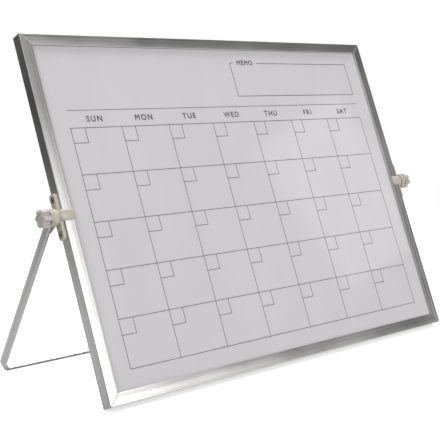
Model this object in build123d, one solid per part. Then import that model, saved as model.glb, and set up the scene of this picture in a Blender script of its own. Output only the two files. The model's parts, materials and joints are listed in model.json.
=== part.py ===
from build123d import *
import os
from math import acos, atan2, cos, degrees, hypot, radians, sin, sqrt, tan

# A framed, double-sided magnetic board that swings on a U-shaped stand.
# Millimetres. Each piece is drawn about the pivot axis, with +X to the right and +Z up
# along the board or the stand, and is then leaned into place over the floor at z = 0.

# Board and frame
board_width = 400.0
board_height = 300.0
frame_depth = 10.6
rail_face = 9.5
lip_height = 2.2
lip_bead = 1.6
rail_wall = 1.2
web_wall = 1.0
key_chamber = 2.6
face_crown = 0.12
outer_round = 0.6
lip_edge = 0.4
mitre_gap = 0.16
sheet_thickness = 0.3
coat_thickness = 0.1
coat_margin = 0.2
panel_clearance = 0.4

# Corner keys
key_arm = 32.0
key_clearance = 0.15
key_nose = 1.2

# Saddle bracket on each side rail
bracket_width = 7.6
bracket_height = 37.0
bracket_thickness = 3.2
bracket_corner = 2.8
saddle_height = 8.8
saddle_grip = 1.8
saddle_reach = 9.3
saddle_bevel = 1.1
boss_radius = 6.0
boss_height = 1.9
screw_spacing = 27.0

# Bracket screws
screw_radius = 1.4
screw_head_radius = 2.4
screw_head_height = 1.3
screw_sink = 0.4
screw_bite = 2.0
screw_clearance = 0.06
well_gap = 0.45

# Pivot bolt and its nut
bolt_radius = 2.0
bolt_clearance = 0.06
bolt_fit = 0.1
bolt_head_flats = 7.0
bolt_head_height = 2.8
nut_height = 3.2
bolt_past_nut = 1.2

# Washers
friction_washer_radius = 5.6
friction_washer = 0.5
clamp_washer_radius = 4.8
clamp_washer = 0.5

# Leg hub
hub_radius = 7.0
hub_step = 0.45
hub_shoulder = 1.6
hub_inner_wall = 1.4
hub_outer_wall = 1.1
tongue_length = 11.3
tongue_tip_radius = 3.6
slot_clearance = 0.05

# Stand, one bent flat bar
bar_width = 8.0
bar_thickness = 2.5
bar_edge = 0.4
bar_past_bolt = 4.2
bend_radius = 6.5
swing_gap = 10.5

# Knob
knob_length = 6.95
knob_radius = 7.5
knob_taper = 2.0
knob_turn = 37.0
lobe_count = 6
flute_radius = 2.2
flute_depth = 2.3
knob_edge = 0.5
dish_radius = 3.6
dish_depth = 0.6
knob_clearance = 0.1

# Pose
lean_angle = 23.0

# Places along X, outward from the rail's side face
side = board_width / 2
plate_face = side + bracket_thickness
screw_seat = plate_face - screw_sink - screw_head_height
boss_face = plate_face + boss_height
hub_inner_face = boss_face + friction_washer
bar_inner_face = hub_inner_face + hub_inner_wall
bar_outer_face = bar_inner_face + bar_thickness
hub_outer_face = bar_outer_face + hub_outer_wall
knob_base = hub_outer_face + clamp_washer
knob_end = knob_base + knob_length
nut_base = knob_base + knob_clearance
bolt_end = nut_base + nut_height + bolt_past_nut

# Depths of the panel, from the middle of the board
panel_face = frame_depth / 2 - lip_height
core_face = panel_face - sheet_thickness

# Pose worked out from the sizes: the board's rounded back edge and the bar's chamfered front
# edge both rest on the floor, and the origin is midway between the front and the back
half_height = board_height / 2
leg_length = half_height + swing_gap + bar_thickness
edge_down = half_height - outer_round
edge_back = frame_depth / 2 - outer_round
foot_back = bar_width / 2 - bar_edge
lean = radians(lean_angle)
pivot_height = edge_down * cos(lean) + edge_back * sin(lean) + outer_round
foot_turn = acos(pivot_height / hypot(leg_length, foot_back))
stand_angle = degrees(foot_turn + atan2(foot_back, leg_length))
stand = radians(stand_angle)
front_reach = edge_down * sin(lean) + edge_back * cos(lean) + outer_round
back_reach = max(
    leg_length * sin(stand) + foot_back * cos(stand),
    (leg_length - bar_edge) * sin(stand) + bar_width / 2 * cos(stand),
)
pivot = Pos(0, (front_reach - back_reach) / 2, pivot_height)
board_pose = pivot * Rot(X=-lean_angle)
stand_pose = pivot * Rot(X=stand_angle)

# Along X, for profiles drawn in the YZ plane
across = Plane.YZ


def disc(radius, start, end):
    """A round along X between two places."""
    return extrude(across.offset(start) * Circle(radius), end - start)


def hexagon(flats, start, end):
    """A hexagonal prism along X between two places."""
    outline = RegularPolygon(flats / 2, 6, major_radius=False)
    return extrude(across.offset(start) * outline, end - start)


def rail_profile():
    """The extrusion's section: a channel for the panel over a closed chamber for the keys."""
    half_depth = frame_depth / 2
    mouth = half_depth - lip_height
    inside = half_depth - rail_wall
    web = rail_wall + key_chamber
    crown = half_depth + face_crown
    outline = make_face(
        Polyline((0, half_depth), (0, -half_depth))
        + ThreePointArc((0, -half_depth), (rail_face / 2, -crown), (rail_face, -half_depth))
        + Polyline((rail_face, -half_depth), (rail_face, half_depth))
        + ThreePointArc((rail_face, half_depth), (rail_face / 2, crown), (0, half_depth))
    )
    outline = fillet(outline.vertices().sort_by(Axis.X)[:2], outer_round)
    chamber = Pos(rail_wall + key_chamber / 2, 0) * Rectangle(key_chamber, 2 * inside)
    slot_length = rail_face - lip_bead - web - web_wall
    slot = Pos(web + web_wall + slot_length / 2, 0) * Rectangle(slot_length, 2 * inside)
    opening = Pos(rail_face, 0) * Rectangle(2 * (lip_bead + lip_edge), 2 * mouth)
    section = outline - chamber - slot - opening
    lips = section.vertices().sort_by(Axis.X)[-4:]
    return chamfer(lips, lip_edge)


def rail(length):
    """A mitred rail along X, its outer face at z = 0 and its lips pointing down."""
    section = Plane((0, 0, 0), x_dir=(0, 0, -1), z_dir=(1, 0, 0)) * rail_profile()
    bar = extrude(section, length / 2, both=True)
    set_back = mitre_gap / sqrt(2)
    outer = length / 2 - set_back
    inner = outer - rail_face
    mitres = Plane.XZ * make_face(
        Polyline((-outer, 0), (outer, 0), (inner, -rail_face), (-inner, -rail_face), close=True)
    )
    return bar & extrude(mitres, frame_depth, both=True)


def side_rail():
    """The right-hand rail, with the two holes that the bracket screws bite into."""
    upright = Rot(Y=90) * Pos(0, 0, side) * rail(board_height)
    for z in (-screw_spacing / 2, screw_spacing / 2):
        upright -= Pos(0, 0, z) * disc(screw_radius + screw_clearance, side - 2 * rail_wall, side)
    return upright


def corner_key():
    """An L of flat bar that fills the chambers of two rails at the top right corner."""
    thickness = key_chamber - 2 * key_clearance
    width = frame_depth - 2 * rail_wall - 2 * key_clearance
    start = rail_wall + key_clearance
    end = start + thickness
    right = board_width / 2
    top = board_height / 2
    outline = make_face(
        Polyline(
            (right - start, top - start),
            (right - key_arm, top - start),
            (right - key_arm, top - end),
            (right - end, top - end),
            (right - end, top - key_arm),
            (right - start, top - key_arm),
            close=True,
        )
    )
    key = extrude(Plane.XZ * outline, width / 2, both=True)
    tips = key.edges().filter_by(Axis.Y).sort_by(Axis.X)[:2]
    tips += key.edges().filter_by(Axis.Y).sort_by(Axis.Z)[:2]
    return chamfer(tips, key_nose / 2)


def panel(start, end):
    """A flat layer of the board between two depths, its edges inside the rails' slots."""
    edge = rail_wall + key_chamber + web_wall + panel_clearance
    outline = Rectangle(board_width - 2 * edge, board_height - 2 * edge)
    layer = extrude(Plane.XZ * outline, (end - start) / 2, both=True)
    return Pos(0, (start + end) / 2, 0) * layer


def writing_sheet(angle):
    """A steel sheet on one side of the core, its coated field open between the rails' lips."""
    sheet = panel(core_face, panel_face)
    margin = rail_face + coat_margin
    field = Rectangle(board_width - 2 * margin, board_height - 2 * margin)
    coat = extrude(Plane.XZ * field, coat_thickness / 2, both=True)
    sheet += Pos(0, panel_face + coat_thickness / 2, 0) * coat
    return Rot(Z=angle) * sheet


def bracket_screw():
    """A cheese-headed screw along X, its head sunk below the bracket's face."""
    shank = disc(screw_radius, side - rail_wall - screw_bite, screw_seat)
    return shank + disc(screw_head_radius, screw_seat, screw_seat + screw_head_height)


def screw_well():
    """The stepped hole for one bracket screw, as a solid to take away."""
    hole = disc(screw_radius + screw_clearance, side - 1, screw_seat)
    return hole + disc(screw_head_radius + well_gap, screw_seat, plate_face + 1)


def bracket():
    """The moulded saddle: a screwed plate, a strap round the rail and a boss for the pivot."""
    plate = extrude(
        across.offset(side) * RectangleRounded(bracket_width, bracket_height, bracket_corner),
        bracket_thickness,
    )
    strap_depth = frame_depth + 2 * (face_crown + saddle_grip)
    strap_length = saddle_reach + bracket_thickness
    strap = Pos(side - saddle_reach + strap_length / 2, 0, 0) * Box(
        strap_length, strap_depth, saddle_height
    )
    ends = strap.faces().sort_by(Axis.Z)
    corners = strap.edges().filter_by(Axis.Z).group_by(Axis.X)[-1]
    strap = chamfer(corners + ends[0].edges() + ends[-1].edges(), saddle_bevel)
    window = Pos(side - saddle_reach, 0, 0) * Box(
        2 * saddle_reach, frame_depth + 2 * face_crown, saddle_height + 1
    )
    boss = disc(boss_radius, plate_face, boss_face)
    body = plate + (strap - window) + boss
    body -= disc(bolt_radius + bolt_fit, side - 1, boss_face + 1)
    body -= hexagon(bolt_head_flats + 2 * bolt_fit, side - 1, side + bolt_head_height + bolt_fit)
    for z in (-screw_spacing / 2, screw_spacing / 2):
        body -= Pos(0, 0, z) * screw_well()
    return body


def bracket_screws():
    """Both screws of one bracket."""
    return [Pos(0, 0, z) * bracket_screw() for z in (-screw_spacing / 2, screw_spacing / 2)]


def pivot_bolt():
    """A hexagon-headed bolt caught between the bracket and the rail."""
    head = hexagon(bolt_head_flats, side + bolt_fit, side + bolt_head_height)
    shank = disc(bolt_radius, side + bolt_fit, bolt_end)
    return head + shank


def washer(radius, start, end):
    """A flat washer on the pivot bolt."""
    return disc(radius, start, end) - disc(bolt_radius + bolt_clearance, start - 1, end + 1)


def teardrop(radius, tip_radius, length):
    """A round hub that narrows on tangents to a smaller round below it."""
    slope = (radius - tip_radius) / length
    level = sqrt(1 - slope * slope)
    sides = make_face(
        Polyline(
            (-radius * level, -radius * slope),
            (radius * level, -radius * slope),
            (tip_radius * level, -length - tip_radius * slope),
            (-tip_radius * level, -length - tip_radius * slope),
            close=True,
        )
    )
    return Circle(radius) + Pos(0, -length) * Circle(tip_radius) + sides


def leg_hub():
    """The moulded hub that holds the bar's end, with a tongue down the bar's inner side."""
    tongue = extrude(
        across.offset(hub_inner_face) * teardrop(hub_radius, tongue_tip_radius, tongue_length),
        hub_inner_wall,
    )
    seam = bar_inner_face + hub_shoulder
    barrel = disc(hub_radius, bar_inner_face, seam)
    cap = disc(hub_radius - hub_step, seam, hub_outer_face)
    cap = chamfer(cap.edges().sort_by(Axis.X)[-1], hub_step)
    slot_thickness = bar_thickness + slot_clearance
    slot_width = bar_width + 2 * slot_clearance
    slot_height = bar_past_bolt + slot_clearance + hub_radius
    slot = Pos(bar_inner_face + slot_thickness / 2, 0, slot_height / 2 - hub_radius) * Box(
        slot_thickness, slot_width, slot_height
    )
    hole = disc(bolt_radius + bolt_clearance, hub_inner_face - 1, hub_outer_face + 1)
    return tongue + barrel + cap - slot - hole


def stand_bar():
    """The flat bar, bent into a U that passes round the board and drilled at both ends."""
    outer = bar_outer_face
    inner = bar_inner_face
    floor = -leg_length
    outline = make_face(
        Polyline(
            (-outer, bar_past_bolt),
            (-outer, floor),
            (outer, floor),
            (outer, bar_past_bolt),
            (inner, bar_past_bolt),
            (inner, floor + bar_thickness),
            (-inner, floor + bar_thickness),
            (-inner, bar_past_bolt),
            close=True,
        )
    )
    corners = outline.vertices().group_by(Axis.Y)
    outline = fillet(corners[0], bend_radius)
    inside = outline.vertices().filter_by(lambda v: abs(v.Y - floor - bar_thickness) < bar_edge / 5)
    outline = fillet(inside, bend_radius - bar_thickness)
    bar = extrude(Plane.XZ * outline, bar_width / 2, both=True)
    long_edges = bar.faces().sort_by(Axis.Y)[0].edges() + bar.faces().sort_by(Axis.Y)[-1].edges()
    bar = chamfer(long_edges.filter_by(lambda e: e.center().Z < 0), bar_edge)
    hole = disc(bolt_radius + bolt_clearance, -outer - 1, outer + 1)
    return bar - hole


def knob():
    """A lobed hand knob, fluted along its length, with a pocket for the nut and the bolt's end."""
    tip_radius = knob_radius - (knob_length - knob_edge) * tan(radians(knob_taper))
    outline = make_face(
        Polyline(
            (knob_base, 0),
            (knob_base, knob_radius),
            (knob_end - knob_edge, tip_radius),
            (knob_end, tip_radius - knob_edge),
            (knob_end, 0),
            close=True,
        )
    )
    body = revolve(outline, Axis.X)
    middle = knob_radius + flute_radius - flute_depth
    flute = disc(flute_radius, knob_base - 1, knob_end + 1)
    for index in range(lobe_count):
        angle = knob_turn + 360 * (index + 0.5) / lobe_count
        body -= Rot(X=angle) * Pos(0, 0, middle) * flute
    body -= disc(dish_radius, knob_end - dish_depth, knob_end + 1)
    return body - hexagon(bolt_head_flats + 2 * bolt_fit, knob_base - 1, bolt_end + knob_clearance)


def knob_nut():
    """The hexagon nut in the knob."""
    nut = hexagon(bolt_head_flats, nut_base, nut_base + nut_height)
    return nut - disc(bolt_radius + bolt_clearance, nut_base - 1, nut_base + nut_height + 1)


def save(name, pieces, pose):
    """Write one sub-part's solids in their place."""
    placed = [pose * piece for piece in pieces]
    shape = placed[0] if len(placed) == 1 else Compound(children=placed)
    export_step(shape, f"parts/{name}.step")


os.makedirs("parts", exist_ok=True)

# Frame: four rails and the keys that join them
long_rail = Pos(0, 0, half_height) * rail(board_width)
short_rail = side_rail()
save("top_rail", [long_rail], board_pose)
save("bottom_rail", [Rot(Y=180) * long_rail], board_pose)
save("right_rail", [short_rail], board_pose)
save("left_rail", [Rot(Z=180) * short_rail], board_pose)
key = corner_key()
for name, flip in (
    ("top_right_corner_key", Rot(0, 0, 0)),
    ("top_left_corner_key", Rot(Z=180)),
    ("bottom_right_corner_key", Rot(X=180)),
    ("bottom_left_corner_key", Rot(Y=180)),
):
    save(name, [flip * key], board_pose)

# Panel: a core between two coated steel sheets, filling the gap between the rails' lips
save("front_writing_sheet", [writing_sheet(180)], board_pose)
save("core_board", [panel(-core_face, core_face)], board_pose)
save("back_writing_sheet", [writing_sheet(0)], board_pose)

# Stand
save("stand_bar", [stand_bar()], stand_pose)

# Pivot clamps: the same pieces on each side, turned half round for the left
for name, turn in (("right", Rot(0, 0, 0)), ("left", Rot(Z=180))):
    save(f"{name}_bracket", [turn * bracket()], board_pose)
    save(f"{name}_bracket_screws", [turn * screw for screw in bracket_screws()], board_pose)
    save(f"{name}_pivot_bolt", [turn * pivot_bolt()], board_pose)
    save(
        f"{name}_friction_washer",
        [turn * washer(friction_washer_radius, boss_face, hub_inner_face)],
        board_pose,
    )
    save(f"{name}_leg_hub", [turn * leg_hub()], stand_pose)
    save(
        f"{name}_clamp_washer",
        [turn * washer(clamp_washer_radius, hub_outer_face, knob_base)],
        board_pose,
    )
    save(f"{name}_knob", [turn * knob()], pivot)
    save(f"{name}_knob_nut", [turn * knob_nut()], pivot)

print("pivot", pivot.position, "stand angle", stand_angle)
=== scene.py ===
import json
from math import asin, atan2, pi, radians

import bpy
from mathutils import Matrix, Vector


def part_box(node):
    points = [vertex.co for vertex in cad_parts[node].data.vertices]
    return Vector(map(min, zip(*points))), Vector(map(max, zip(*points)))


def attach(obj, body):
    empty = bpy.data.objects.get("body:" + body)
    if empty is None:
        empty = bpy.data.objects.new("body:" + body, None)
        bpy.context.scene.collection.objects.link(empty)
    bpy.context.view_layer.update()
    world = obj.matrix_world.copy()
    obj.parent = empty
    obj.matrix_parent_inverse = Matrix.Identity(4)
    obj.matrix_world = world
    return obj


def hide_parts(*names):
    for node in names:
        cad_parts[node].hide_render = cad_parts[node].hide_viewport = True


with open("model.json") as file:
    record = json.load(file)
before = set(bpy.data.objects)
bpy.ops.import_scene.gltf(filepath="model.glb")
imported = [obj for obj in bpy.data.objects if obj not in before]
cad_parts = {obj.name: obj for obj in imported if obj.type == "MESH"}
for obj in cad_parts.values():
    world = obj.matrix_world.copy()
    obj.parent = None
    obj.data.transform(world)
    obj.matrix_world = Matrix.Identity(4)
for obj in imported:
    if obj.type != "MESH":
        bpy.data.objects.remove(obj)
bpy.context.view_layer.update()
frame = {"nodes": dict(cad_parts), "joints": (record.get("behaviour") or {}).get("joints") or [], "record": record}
nodes = frame["nodes"]
record = frame["record"]
print("frame loaded:", len(nodes), "nodes")

# the board and the stand each have their own directions: +X to the right, +Z up along them
pivot = Vector(frame["joints"][0]["pos_m"])
writingFace = record["mounts"][0]
leanAngle = asin(writingFace["axis"][2])
boardPlace = Matrix.Translation(pivot) @ Matrix.Rotation(-leanAngle, 4, "X")
sheetFace = -(Vector(writingFace["pos_m"]) - pivot).length  # depth of the printed face
barLow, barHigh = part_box("stand_bar")
standAngle = atan2(barHigh.y - pivot.y, pivot.z - barLow.z)


def pick(piece):
    bpy.ops.object.select_all(action="DESELECT")
    piece.select_set(True)
    bpy.context.view_layer.objects.active = piece


def bakePlace(piece, place):  # the object ends at the origin, with its place in its mesh
    bpy.context.view_layer.update()
    piece.data.transform(place @ piece.matrix_world)
    piece.matrix_world = Matrix.Identity(4)


def joinAll(pieces, name):
    pick(pieces[0])
    for piece in pieces[1:]:
        piece.select_set(True)
    bpy.ops.object.join()
    joined = bpy.context.object
    joined.name = name
    joined.data.name = name
    return joined


def applyAll(piece):
    pick(piece)
    for modifier in list(piece.modifiers):
        bpy.ops.object.modifier_apply(modifier=modifier.name)


def pickFaces(piece, test):
    bpy.ops.object.mode_set(mode="EDIT")
    bpy.ops.mesh.select_mode(type="FACE")
    bpy.ops.mesh.select_all(action="DESELECT")
    bpy.ops.object.mode_set(mode="OBJECT")
    for face in piece.data.polygons:
        face.select = test(face)
    bpy.ops.object.mode_set(mode="EDIT")


def coat(piece, finish):
    piece.data.materials.clear()
    piece.data.materials.append(finish)


def newFinish(name, **values):
    finish = bpy.data.materials.new(name)
    finish.use_nodes = True
    shader = finish.node_tree.nodes["Principled BSDF"]
    for socket, value in values.items():
        shader.inputs[socket.replace("_", " ")].default_value = value
    return finish, shader


def addNode(finish, kind, **settings):
    node = finish.node_tree.nodes.new(kind)
    for name, value in settings.items():
        setattr(node, name, value)
    return node


def wire(finish, source, output, target, socket):
    finish.node_tree.links.new(source.outputs[output], target.inputs[socket])


def localPattern(finish, turn, featureSize):
    # object coordinates in the board's or the stand's directions, one unit per feature
    place = addNode(finish, "ShaderNodeTexCoord")
    turned = addNode(finish, "ShaderNodeMapping", vector_type="TEXTURE")
    turned.inputs["Location"].default_value = pivot
    turned.inputs["Rotation"].default_value = (turn, 0, 0)
    turned.inputs["Scale"].default_value = featureSize
    wire(finish, place, "Object", turned, "Vector")
    return turned


def speckle(finish, mapping, detail, scale=1.0):
    noise = addNode(finish, "ShaderNodeTexNoise")
    noise.inputs["Scale"].default_value = scale
    noise.inputs["Detail"].default_value = detail
    wire(finish, mapping, "Vector", noise, "Vector")
    return noise


def spread(finish, source, low, high):
    # most values of a noise lie near its middle, which is stretched from low to high
    middle = {"From Min": 0.3, "From Max": 0.7, "To Min": low, "To Max": high}
    ranger = addNode(finish, "ShaderNodeMapRange")
    for socket, value in middle.items():
        ranger.inputs[socket].default_value = value
    wire(finish, source, 0, ranger, "Value")
    return ranger


def tint(finish, factor, dark, light):
    mixer = addNode(finish, "ShaderNodeMix", data_type="RGBA")
    mixer.inputs["A"].default_value = (*dark, 1)
    mixer.inputs["B"].default_value = (*light, 1)
    wire(finish, factor, 0, mixer, "Factor")
    return mixer


def paint(finish, shader, pattern, dark, light):
    colour = tint(finish, spread(finish, pattern, 0, 1), dark, light)
    wire(finish, colour, "Result", shader, "Base Color")


def emboss(finish, shader, pattern, depth):
    bump = addNode(finish, "ShaderNodeBump")
    bump.inputs["Strength"].default_value = 1
    bump.inputs["Distance"].default_value = depth
    wire(finish, pattern, 0, bump, "Height")
    wire(finish, bump, "Normal", shader, "Normal")


def mitreSeam(finish, halfHigh, width):
    # 1 on the sawn edges where two rails meet, 0 elsewhere
    # the frame's corners lie this much further out than up
    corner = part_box("top_rail")[1].x - halfHigh
    place = addNode(finish, "ShaderNodeSeparateXYZ")
    wire(finish, localPattern(finish, -leanAngle, (1, 1, 1)), "Vector", place, "Vector")
    difference = addNode(finish, "ShaderNodeMath", operation="SUBTRACT")
    for number, axis in enumerate("XZ"):
        distance = addNode(finish, "ShaderNodeMath", operation="ABSOLUTE")
        wire(finish, place, axis, distance, 0)
        wire(finish, distance, "Value", difference, number)
    near = addNode(finish, "ShaderNodeMath", operation="COMPARE")
    wire(finish, difference, "Value", near, 0)
    near.inputs[1].default_value = corner
    near.inputs[2].default_value = width
    return near


def mixed(finish, factor, first, second):
    # between two patterns or fixed numbers, half of each where no pattern gives the factor
    mixer = addNode(finish, "ShaderNodeMix")
    mixer.inputs["Factor"].default_value = 0.5
    if factor:
        wire(finish, factor, 0, mixer, "Factor")
    for socket, source in (("A", first), ("B", second)):
        if isinstance(source, (int, float)):
            mixer.inputs[socket].default_value = source
        else:
            wire(finish, source, 0, mixer, socket)
    return mixer


def drawnAluminium(name, turn, featureSize, across, mitred=True):
    alloy = {
        "dark": (0.32, 0.318, 0.315),
        "light": (0.75, 0.74, 0.73),
        "roughLow": 0.30,
        "roughHigh": 0.42,
        "anisotropy": 0.15,
        "lineDetail": 4,
        "lineDepth": 0.00006,
        "bandSize": 3.0,  # broad bands, in fine lines
        "smudgeSize": (0.06, 0.06, 0.06),
        "seam": (0.56, 0.52, 0.47),
        "seamMetal": 0.1,
        "seamRough": 0.7,
        "seamWidth": 0.0004,
        "frameHalfHigh": 0.15,
    }
    finish, shader = newFinish(name, Anisotropic=alloy["anisotropy"])
    grain = localPattern(finish, turn, featureSize)
    fine = speckle(finish, grain, alloy["lineDetail"])
    bands = speckle(finish, grain, 1, 1 / alloy["bandSize"])
    lines = mixed(finish, None, fine, bands)
    colour = tint(finish, spread(finish, lines, 0, 1), alloy["dark"], alloy["light"])
    smudges = speckle(finish, localPattern(finish, turn, alloy["smudgeSize"]), 3)
    rough = spread(finish, smudges, alloy["roughLow"], alloy["roughHigh"])
    if mitred:
        seam = mitreSeam(finish, alloy["frameHalfHigh"], alloy["seamWidth"])
        edged = addNode(finish, "ShaderNodeMix", data_type="RGBA")
        wire(finish, seam, "Value", edged, "Factor")
        wire(finish, colour, "Result", edged, "A")
        edged.inputs["B"].default_value = (*alloy["seam"], 1)
        metal = mixed(finish, seam, 1, alloy["seamMetal"])
        sawn = mixed(finish, seam, rough, alloy["seamRough"])
        wire(finish, edged, "Result", shader, "Base Color")
        wire(finish, metal, "Result", shader, "Metallic")
        wire(finish, sawn, "Result", shader, "Roughness")
    else:
        shader.inputs["Metallic"].default_value = 1
        wire(finish, colour, "Result", shader, "Base Color")
        wire(finish, rough, "Result", shader, "Roughness")
    emboss(finish, shader, lines, alloy["lineDepth"])
    # the drawn lines spread a highlight sideways, so the tangent lies across them
    side = Matrix.Rotation(turn, 3, "X") @ Vector(across).normalized()
    tangent = addNode(finish, "ShaderNodeCombineXYZ")
    for axis, value in zip("XYZ", side):
        tangent.inputs[axis].default_value = value
    carried = addNode(finish, "ShaderNodeVectorTransform", vector_type="VECTOR")
    carried.convert_from = "OBJECT"
    carried.convert_to = "WORLD"
    wire(finish, tangent, "Vector", carried, "Vector")
    wire(finish, carried, "Vector", shader, "Tangent")
    return finish


def glossCoat(name, base):
    gloss = {
        "rough": 0.06,
        "bend": 1.6,  # a glassier coat than plain paint
        "waveSize": (0.045, 0.045, 0.12),
        "waveDepth": 0.00004,
        "shade": 0.965,
    }
    finish, shader = newFinish(name, Roughness=gloss["rough"], IOR=gloss["bend"])
    waves = speckle(finish, localPattern(finish, -leanAngle, gloss["waveSize"]), 2)
    paint(finish, shader, waves, tuple(value * gloss["shade"] for value in base), base)
    emboss(finish, shader, waves, gloss["waveDepth"])
    return finish


def mouldedPlastic(name, dark, light, rough, grainDepth, **values):
    moulding = {
        "grainSize": (0.0006, 0.0006, 0.0006),
        "cloudSize": (0.006, 0.006, 0.006),
        "roughSpread": 0.06,
    }
    finish, shader = newFinish(name, **values)
    grain = speckle(finish, localPattern(finish, -leanAngle, moulding["grainSize"]), 2)
    clouds = speckle(finish, localPattern(finish, -leanAngle, moulding["cloudSize"]), 3)
    smooth = rough - moulding["roughSpread"]
    matt = rough + moulding["roughSpread"]
    paint(finish, shader, clouds, dark, light)
    wire(finish, spread(finish, clouds, smooth, matt), "Result", shader, "Roughness")
    emboss(finish, shader, grain, grainDepth)
    return finish


def platedSteel(name, dark, light):
    plating = {
        "blotchSize": (0.0012, 0.0012, 0.0012),
        "depth": 0.00001,
        "roughLow": 0.3,
        "roughHigh": 0.45,
    }
    finish, shader = newFinish(name, Metallic=1.0)
    blotches = speckle(finish, localPattern(finish, -leanAngle, plating["blotchSize"]), 3)
    rough = spread(finish, blotches, plating["roughLow"], plating["roughHigh"])
    paint(finish, shader, blotches, dark, light)
    wire(finish, rough, "Result", shader, "Roughness")
    emboss(finish, shader, blotches, plating["depth"])
    return finish


def printInk():
    ink = {
        "patchSize": (0.004, 0.004, 0.004),
        "dark": (0.045, 0.045, 0.05),
        "light": (0.10, 0.10, 0.11),
        "rough": 0.35,
    }
    finish, shader = newFinish("printInk", Roughness=ink["rough"])
    patches = speckle(finish, localPattern(finish, -leanAngle, ink["patchSize"]), 2)
    paint(finish, shader, patches, ink["dark"], ink["light"])
    return finish


def fibreCore():
    fibre = {
        "size": (0.004, 0.0004, 0.0015),
        "depth": 0.00005,
        "dark": (0.38, 0.28, 0.18),
        "light": (0.55, 0.44, 0.31),
        "rough": 0.85,
    }
    finish, shader = newFinish("fibreCore", Roughness=fibre["rough"])
    fibres = speckle(finish, localPattern(finish, -leanAngle, fibre["size"]), 4)
    paint(finish, shader, fibres, fibre["dark"], fibre["light"])
    emboss(finish, shader, fibres, fibre["depth"])
    return finish


def blackRubber():
    washer = {
        "grainSize": (0.0005, 0.0005, 0.0005),
        "depth": 0.00002,
        "dark": (0.025, 0.024, 0.022),
        "light": (0.06, 0.058, 0.054),
        "rough": 0.7,
    }
    finish, shader = newFinish("blackRubber", Roughness=washer["rough"])
    grain = speckle(finish, localPattern(finish, -leanAngle, washer["grainSize"]), 3)
    paint(finish, shader, grain, washer["dark"], washer["light"])
    emboss(finish, shader, grain, washer["depth"])
    return finish


# the drawn lines are long along a bar and fine across it
drawn = {"long": 0.30, "fine": 0.0009}
alongRail = (drawn["long"], drawn["fine"], drawn["fine"])
alongUpright = (drawn["fine"], drawn["fine"], drawn["long"])
railAcross = drawnAluminium("railAcross", -leanAngle, alongRail, (0, 1, 1))
railUpright = drawnAluminium("railUpright", -leanAngle, alongUpright, (1, 1, 0))
standLeg = drawnAluminium("standLeg", standAngle, alongUpright, (1, 1, 0), mitred=False)
frontCoat = glossCoat("frontCoat", base=(0.60, 0.588, 0.601))
backCoat = glossCoat("backCoat", base=(0.78, 0.78, 0.79))
ivoryPlastic = mouldedPlastic(
    "ivoryPlastic", dark=(0.44, 0.41, 0.345), light=(0.50, 0.465, 0.40),
    rough=0.38, grainDepth=0.000012, Subsurface_Weight=0.08, Subsurface_Scale=0.002,
)
milkyPlastic = mouldedPlastic(
    "milkyPlastic", dark=(0.43, 0.395, 0.375), light=(0.495, 0.46, 0.435),
    rough=0.28, grainDepth=0.000008, Subsurface_Weight=0.25, Subsurface_Scale=0.003,
)
zincSteel = platedSteel("zincSteel", dark=(0.50, 0.49, 0.46), light=(0.66, 0.65, 0.62))
screwSteel = platedSteel("screwSteel", dark=(0.20, 0.18, 0.155), light=(0.34, 0.31, 0.27))
inkFinish = printInk()

coat(nodes["top_rail"], railAcross)
coat(nodes["bottom_rail"], railAcross)
coat(nodes["left_rail"], railUpright)
coat(nodes["right_rail"], railUpright)
coat(nodes["stand_bar"], standLeg)
coat(nodes["front_writing_sheet"], frontCoat)
coat(nodes["back_writing_sheet"], backCoat)
coat(nodes["core_board"], fibreCore())
rubber = blackRubber()
for side in ("left", "right"):
    coat(nodes[side + "_friction_washer"], rubber)
    coat(nodes[side + "_clamp_washer"], zincSteel)
    coat(nodes[side + "_pivot_bolt"], zincSteel)
    coat(nodes[side + "_knob_nut"], zincSteel)
for name in nodes:
    if "corner_key" in name:
        coat(nodes[name], zincSteel)
print("finishes set")


moulded = {
    "bracketRound": 0.00035,
    "hubRound": 0.0003,
    "knobRound": 0.00035,
    "merge": 0.000002,
    "flat": radians(1.5),
    "sharp": radians(32),  # edges sharper than this are rounded
    "smooth": radians(35),
    "segments": 3,
}


def softened(nodeName, pieceName, roundness, finish, body):
    # a copy of a CAD node with its sharp edges rounded
    piece = bpy.data.objects.new(pieceName, nodes[nodeName].data.copy())
    bpy.context.scene.collection.objects.link(piece)
    piece.data.name = pieceName
    pick(piece)
    bpy.ops.object.mode_set(mode="EDIT")
    bpy.ops.mesh.select_all(action="SELECT")
    bpy.ops.mesh.remove_doubles(threshold=moulded["merge"])
    bpy.ops.mesh.dissolve_limited(angle_limit=moulded["flat"])
    bpy.ops.object.mode_set(mode="OBJECT")
    bevel = piece.modifiers.new("edges", "BEVEL")
    bevel.width = roundness
    bevel.segments = moulded["segments"]
    bevel.limit_method = "ANGLE"
    bevel.angle_limit = moulded["sharp"]
    bevel.use_clamp_overlap = True
    applyAll(piece)
    bpy.ops.object.shade_smooth_by_angle(angle=moulded["smooth"])
    coat(piece, finish)
    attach(piece, body)
    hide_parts(nodeName)
    return piece


for side in ("left", "right"):
    softened(side + "_bracket", side + "_saddle_moulding", moulded["bracketRound"],
             ivoryPlastic, "board")
    softened(side + "_leg_hub", side + "_hub_moulding", moulded["hubRound"],
             ivoryPlastic, "stand")
    softened(side + "_knob", side + "_knob_moulding", moulded["knobRound"],
             milkyPlastic, side + "_knob")
print("mouldings softened")

# the bracket screws, domed and with a cross recess
crossHead = {
    "domed": 0.0006,
    "long": 0.0030,
    "wide": 0.0008,
    "deep": 0.0008,
    "narrowing": 0.5,
    "facing": 0.9,  # how squarely the blade's tip looks inwards
    "turns": (0.35, 1.15),  # how each screw of a bracket happens to stand
    "spacing": 0.027,
}


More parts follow.
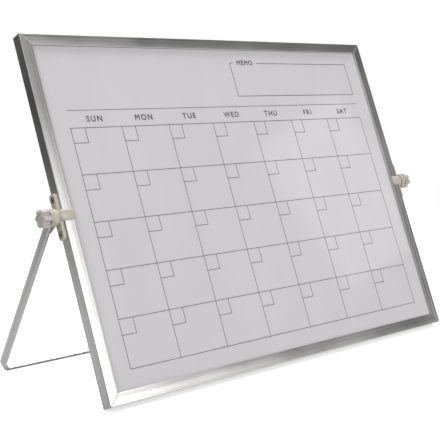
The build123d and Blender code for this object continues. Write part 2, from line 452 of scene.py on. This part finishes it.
def crossBlade(headFace, outward, tall, wide):
    bpy.ops.object.select_all(action="DESELECT")
    bpy.ops.mesh.primitive_cube_add(size=1, location=(headFace, 0, 0))
    blade = bpy.context.object
    blade.scale = (2 * crossHead["deep"], wide, tall)
    bpy.ops.object.transform_apply(location=True, rotation=False, scale=True)
    pickFaces(blade, lambda face: face.normal.x * outward < -crossHead["facing"])
    bpy.ops.transform.resize(value=(1, crossHead["narrowing"], crossHead["narrowing"]))
    bpy.ops.object.mode_set(mode="OBJECT")
    return blade


def cutAway(piece, blade):
    cut = piece.modifiers.new("recess", "BOOLEAN")
    cut.operation = "DIFFERENCE"
    cut.object = blade
    applyAll(piece)
    bpy.data.objects.remove(blade)


for side, outward in (("left", -1), ("right", 1)):
    screws = softened(side + "_bracket_screws", side + "_cross_head_screws",
                      crossHead["domed"], screwSteel, "board")
    low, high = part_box(side + "_bracket_screws")
    headFace = low.x if side == "left" else high.x
    for step, turn in zip((-0.5, 0.5), crossHead["turns"]):
        spot = Matrix.Translation((0, 0, step * crossHead["spacing"]))
        spot = spot @ Matrix.Rotation(turn, 4, "X")
        for tall, wide in (("long", "wide"), ("wide", "long")):
            blade = crossBlade(headFace, outward, crossHead[tall], crossHead[wide])
            bakePlace(blade, boardPlace @ spot)
            cutAway(screws, blade)
    pick(screws)
    bpy.ops.object.shade_smooth_by_angle(angle=moulded["smooth"])
print("screws cut")


# the print on the front sheet
grid = {
    "left": -0.1731,
    "right": 0.1730,
    "top": 0.0702,
    "bottom": -0.1255,
    "columns": 7,
    "rows": 5,
    "line": 0.00055,
    "ink": 0.00003,
    "merge": 0.000001,
    "samePlace": 0.00001,
    "dateWide": 0.28,
    "dateHigh": 0.33,
}
cellWide = (grid["right"] - grid["left"]) / grid["columns"]
cellHigh = (grid["top"] - grid["bottom"]) / grid["rows"]
upright = Matrix.Rotation(pi / 2, 4, "X")  # from lying on the floor to facing the front


def inkPlate(name, left, right, low, high):
    # flat on the floor plane, x to the right and y up the board
    bpy.ops.object.select_all(action="DESELECT")
    bpy.ops.mesh.primitive_plane_add(
        size=1, location=((left + right) / 2, (low + high) / 2, 0),
    )
    plate = bpy.context.object
    plate.name = name
    plate.scale = (right - left, high - low, 1)
    bpy.ops.object.transform_apply(location=True, rotation=False, scale=True)
    return plate


def monthLines():
    # a grid whose cells are inset by half a line and then emptied
    bpy.ops.object.select_all(action="DESELECT")
    bpy.ops.mesh.primitive_grid_add(
        x_subdivisions=grid["columns"], y_subdivisions=grid["rows"], size=1,
        location=((grid["left"] + grid["right"]) / 2, (grid["top"] + grid["bottom"]) / 2, 0),
    )
    lines = bpy.context.object
    lines.scale = (grid["right"] - grid["left"], grid["top"] - grid["bottom"], 1)
    bpy.ops.object.transform_apply(location=True, rotation=False, scale=True)
    bpy.ops.object.mode_set(mode="EDIT")
    bpy.ops.mesh.select_all(action="SELECT")
    bpy.ops.mesh.inset(thickness=grid["line"] / 2, use_individual=True)
    bpy.ops.mesh.delete(type="FACE")
    bpy.ops.object.mode_set(mode="OBJECT")
    # the border gets its outer half, so that it is as wide as the inner lines
    half = grid["line"] / 2
    border = (
        (0, grid["left"], -half), (0, grid["right"], half),
        (1, grid["bottom"], -half), (1, grid["top"], half),
    )
    for corner in lines.data.vertices:
        for axis, edge, outwards in border:
            if abs(corner.co[axis] - edge) < grid["samePlace"]:
                corner.co[axis] = edge + outwards
    return lines


def dateCorner():
    # the two inner sides of a date box: an inset plate that keeps its right and lower border
    wide = cellWide * grid["dateWide"]
    high = cellHigh * grid["dateHigh"]
    box = inkPlate("dateCorner", 0, wide, -high, 0)
    bpy.ops.object.mode_set(mode="EDIT")
    bpy.ops.mesh.select_all(action="SELECT")
    bpy.ops.mesh.inset(thickness=grid["line"])
    bpy.ops.mesh.delete(type="FACE")
    bpy.ops.object.mode_set(mode="OBJECT")
    pickFaces(box, lambda face: face.center.x < wide / 4 or face.center.y > -high / 4)
    bpy.ops.mesh.delete(type="FACE")
    bpy.ops.object.mode_set(mode="OBJECT")
    return box


def thicken(piece):  # flat ink gets its thickness
    pick(piece)
    bpy.ops.object.mode_set(mode="EDIT")
    bpy.ops.mesh.select_all(action="SELECT")
    bpy.ops.mesh.remove_doubles(threshold=grid["merge"])
    bpy.ops.mesh.extrude_region_move(TRANSFORM_OT_translate={"value": (0, 0, grid["ink"])})
    bpy.ops.object.mode_set(mode="OBJECT")
    return piece


def printOn(piece):  # from the floor plane onto the sheet
    pick(piece)
    bpy.ops.object.mode_set(mode="EDIT")
    bpy.ops.mesh.select_all(action="SELECT")
    bpy.ops.mesh.remove_doubles(threshold=grid["merge"])
    bpy.ops.mesh.normals_make_consistent(inside=False)
    bpy.ops.object.mode_set(mode="OBJECT")
    bakePlace(piece, boardPlace @ Matrix.Translation((0, sheetFace, 0)) @ upright)
    coat(piece, inkFinish)
    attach(piece, "board")


gridPieces = [monthLines()]
firstDate = dateCorner()
for column in range(grid["columns"]):
    for row in range(grid["rows"]):
        copied = firstDate.copy()
        copied.data = firstDate.data.copy()
        bpy.context.scene.collection.objects.link(copied)
        copied.location = (grid["left"] + column * cellWide, grid["top"] - row * cellHigh, 0)
        gridPieces.append(copied)
bpy.data.objects.remove(firstDate)
header = {"height": 0.0852, "left": -0.1731, "right": 0.1730, "line": 0.0005}
gridPieces.append(inkPlate(
    "headerLine", header["left"], header["right"],
    header["height"] - header["line"] / 2, header["height"] + header["line"] / 2,
))
printOn(thicken(joinAll(gridPieces, "month_grid_print")))
print("month grid printed")

labels = {
    "words": ("SUN", "MON", "TUE", "WED", "THU", "FRI", "SAT"),
    "size": 0.0070,
    "height": 0.0775,
    "spacing": 1.3,
    "boldness": 0.0002,
}


def inkWord(word, size, x, y, spacing):
    # a bevel widens each stroke, and the word is then pressed down to the ink's thickness
    bpy.ops.object.select_all(action="DESELECT")
    bpy.ops.object.text_add(location=(0, 0, 0))
    text = bpy.context.object
    text.data.body = word
    text.data.size = size
    text.data.align_x = "CENTER"
    text.data.align_y = "CENTER"
    text.data.space_character = spacing
    text.data.bevel_depth = labels["boldness"]
    text.data.bevel_resolution = 0
    bpy.ops.object.convert(target="MESH")
    printed = bpy.context.object
    printed.scale = (1, 1, grid["ink"] / 2 / labels["boldness"])
    printed.location = (x, y, grid["ink"] / 2)
    bpy.ops.object.transform_apply(location=True, rotation=False, scale=True)
    return printed


words = []
for column, word in enumerate(labels["words"]):
    middle = grid["left"] + (column + 0.5) * cellWide
    words.append(inkWord(word, labels["size"], middle, labels["height"], labels["spacing"]))
printOn(joinAll(words, "weekday_labels"))

memo = {
    "left": 0.0146,
    "right": 0.1730,
    "low": 0.0950,
    "high": 0.1283,
    "line": 0.0006,
    "gapLeft": 0.0190,
    "gapRight": 0.0484,
    "word": "MEMO",
    "wordSize": 0.0064,
    "wordSpacing": 1.2,
}


def memoBox():
    # a frame of four lines, with its top line cut for the word
    outline = inkPlate("memoBox", memo["left"], memo["right"], memo["low"], memo["high"])
    bpy.ops.object.mode_set(mode="EDIT")
    bpy.ops.mesh.select_all(action="SELECT")
    bpy.ops.mesh.inset(thickness=memo["line"])
    bpy.ops.mesh.delete(type="FACE")
    for cut in (memo["gapLeft"], memo["gapRight"]):
        bpy.ops.mesh.select_all(action="SELECT")
        bpy.ops.mesh.bisect(plane_co=(cut, 0, 0), plane_no=(1, 0, 0))
    bpy.ops.object.mode_set(mode="OBJECT")
    middle = (memo["low"] + memo["high"]) / 2
    pickFaces(outline, lambda face: face.center.y > middle
              and memo["gapLeft"] < face.center.x < memo["gapRight"])
    bpy.ops.mesh.delete(type="FACE")
    bpy.ops.object.mode_set(mode="OBJECT")
    return outline


wordMiddle = (memo["gapLeft"] + memo["gapRight"]) / 2
memoWord = inkWord(
    memo["word"], memo["wordSize"], wordMiddle, memo["high"], memo["wordSpacing"],
)
printOn(joinAll([thicken(memoBox()), memoWord], "memo_box_print"))
print("labels printed")


def studioFloor():
    # the floor looks burnt out, and only deep contact shadows stay on it
    floorLook = {
        "radius": 1.1,
        "corners": 96,
        "colour": (0.62, 0.62, 0.62),
        "shade": 0.98,
        "cloudSize": (0.4, 0.4, 0.4),
        "rough": 0.14,
        "burnt": 0.56,
        "mirrored": 0.12,  # how much of the glow the metal shows
    }
    bpy.ops.object.select_all(action="DESELECT")
    bpy.ops.mesh.primitive_circle_add(
        vertices=floorLook["corners"], radius=floorLook["radius"], fill_type="NGON",
    )
    floor = bpy.context.object
    floor.name = "studioFloor"
    finish, shader = newFinish("floorFinish", Roughness=floorLook["rough"])
    clouds = speckle(finish, localPattern(finish, 0, floorLook["cloudSize"]), 2)
    light = floorLook["colour"]
    dark = tuple(value * floorLook["shade"] for value in light)
    wire(finish, tint(finish, clouds, dark, light), "Result", shader, "Base Color")
    shader.inputs["Emission Color"].default_value = (1, 1, 1, 1)
    path = addNode(finish, "ShaderNodeLightPath")
    glow = addNode(finish, "ShaderNodeMath", operation="ADD")
    rays = (("Is Camera Ray", "burnt"), ("Is Glossy Ray", "mirrored"))
    for number, (ray, share) in enumerate(rays):
        part = addNode(finish, "ShaderNodeMath", operation="MULTIPLY")
        part.inputs[1].default_value = floorLook[share]
        wire(finish, path, ray, part, 0)
        wire(finish, part, "Value", glow, number)
    wire(finish, glow, "Value", shader, "Emission Strength")
    coat(floor, finish)


def softbox(name, centre, wide, high, glow):
    # glow is the brightness of the box's face, so its power follows its size
    lamp = bpy.data.lights.new(name, "AREA")
    lamp.shape = "RECTANGLE"
    lamp.size = wide
    lamp.size_y = high
    lamp.energy = glow * pi * wide * high
    box = bpy.data.objects.new(name, lamp)
    bpy.context.scene.collection.objects.link(box)
    box.location = centre
    box.rotation_euler = (boardMiddle - Vector(centre)).to_track_quat("-Z", "Y").to_euler()
    box.visible_camera = False


def studioWorld():
    room = {"seen": 1.0, "felt": 0.05}
    world = bpy.data.worlds.new("studioWorld")
    bpy.context.scene.world = world
    world.use_nodes = True
    tree = world.node_tree
    plain = tree.nodes["Background"]
    plain.inputs["Color"].default_value = (1, 1, 1, 1)
    plain.inputs["Strength"].default_value = room["felt"]
    bright = tree.nodes.new("ShaderNodeBackground")
    bright.inputs["Strength"].default_value = room["seen"]
    bright.inputs["Color"].default_value = (1, 1, 1, 1)
    path = tree.nodes.new("ShaderNodeLightPath")
    mixer = tree.nodes.new("ShaderNodeMixShader")
    tree.links.new(path.outputs["Is Camera Ray"], mixer.inputs["Fac"])
    tree.links.new(plain.outputs["Background"], mixer.inputs[1])
    tree.links.new(bright.outputs["Background"], mixer.inputs[2])
    tree.links.new(mixer.outputs["Shader"], tree.nodes["World Output"].inputs["Surface"])


def studioCamera():
    shot = {
        "fromPivot": (-0.59316, -0.63955, 0.10358),
        "forward": (0.6489, 0.7435, -0.1618),
        "lens": 79.81,
        "shiftX": -0.0052,
        "shiftY": 0.0455,
        "sensor": 36,
        "nearest": 0.01,
    }
    lens = bpy.data.cameras.new("deskCamera")
    lens.lens = shot["lens"]
    lens.sensor_width = shot["sensor"]
    lens.shift_x = shot["shiftX"]
    lens.shift_y = shot["shiftY"]
    lens.clip_start = shot["nearest"]
    camera = bpy.data.objects.new("deskCamera", lens)
    bpy.context.scene.collection.objects.link(camera)
    camera.location = pivot + Vector(shot["fromPivot"])
    camera.rotation_euler = Vector(shot["forward"]).to_track_quat("-Z", "Y").to_euler()
    bpy.context.scene.camera = camera


studioFloor()
studioWorld()
boardMiddle = Vector((0, 0, 0.14))
softboxes = {  # centre, width, height and glow
    "overheadBox": ((0.00, 0.41, 1.69), 1.85, 0.86, 7.3),
    "frontBox": ((0.29, -1.49, 0.66), 0.87, 1.04, 4.9),
    "lowFrontBox": ((0.87, -1.33, -0.03), 0.56, 0.51, 5.8),
    "windowBox": ((1.23, -0.83, 0.74), 0.25, 0.42, 0.8),
    "highSideBox": ((-1.03, 0.00, 1.37), 0.36, 0.51, 5.0),
    "backBox": ((1.12, 1.60, 0.56), 4.35, 1.07, 1.1),
    "edgeBox": ((-1.30, -0.47, 0.94), 0.34, 0.56, 9.0),
}
for name, (centre, wide, high, glow) in softboxes.items():
    softbox(name, centre, wide, high, glow)
studioCamera()
bpy.context.scene.view_settings.view_transform = "Standard"
print("studio set")
